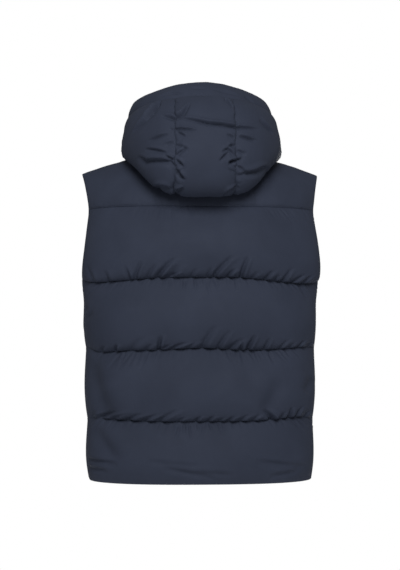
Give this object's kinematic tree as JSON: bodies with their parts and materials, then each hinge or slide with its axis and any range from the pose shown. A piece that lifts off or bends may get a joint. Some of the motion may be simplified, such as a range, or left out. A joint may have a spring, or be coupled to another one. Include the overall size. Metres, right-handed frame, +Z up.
{
  "type": "hooded down vest",
  "caption": "Sleeveless hooded puffer vest, filled out as worn: quilted back and fronts below a soft yoke, a panelled hood lying back, and a full front zip.",
  "frame": {"origin": "middle of the neck, level with the points where the shoulder seams meet the neck seam", "axes": "+X to the wearer's left, +Y to the back and +Z up, so the front faces -Y"},
  "size_m": [0.4924, 0.3916, 0.8063],
  "materials": {
    "shell": "smooth satin weave over down",
    "tape": "woven tape",
    "chain": "moulded teeth",
    "slider": "satin lacquer"
  },
  "bodies": {
    "vest": {"back_panel": "shell", "front_left": "shell", "front_right": "shell", "back_yoke": "shell", "front_yoke_left": "shell", "front_yoke_right": "shell", "hood_centre": "shell", "hood_side_left": "shell", "hood_side_right": "shell", "hood_brim": "shell", "zip_tape_left": "tape", "zip_tape_right": "tape", "zip_chain": "chain", "zip_box": "chain", "zip_slider": "slider"},
    "pull_tab": {"zip_pull": "slider"}
  },
  "joints": [
    {"name": "pull_swing", "type": "hinge", "parent": "vest", "child": "pull_tab", "pos_m": [0, -0.1317, 0.00168], "axis": [-1, 0, 0], "range_deg": [-8, 172]}
  ]
}
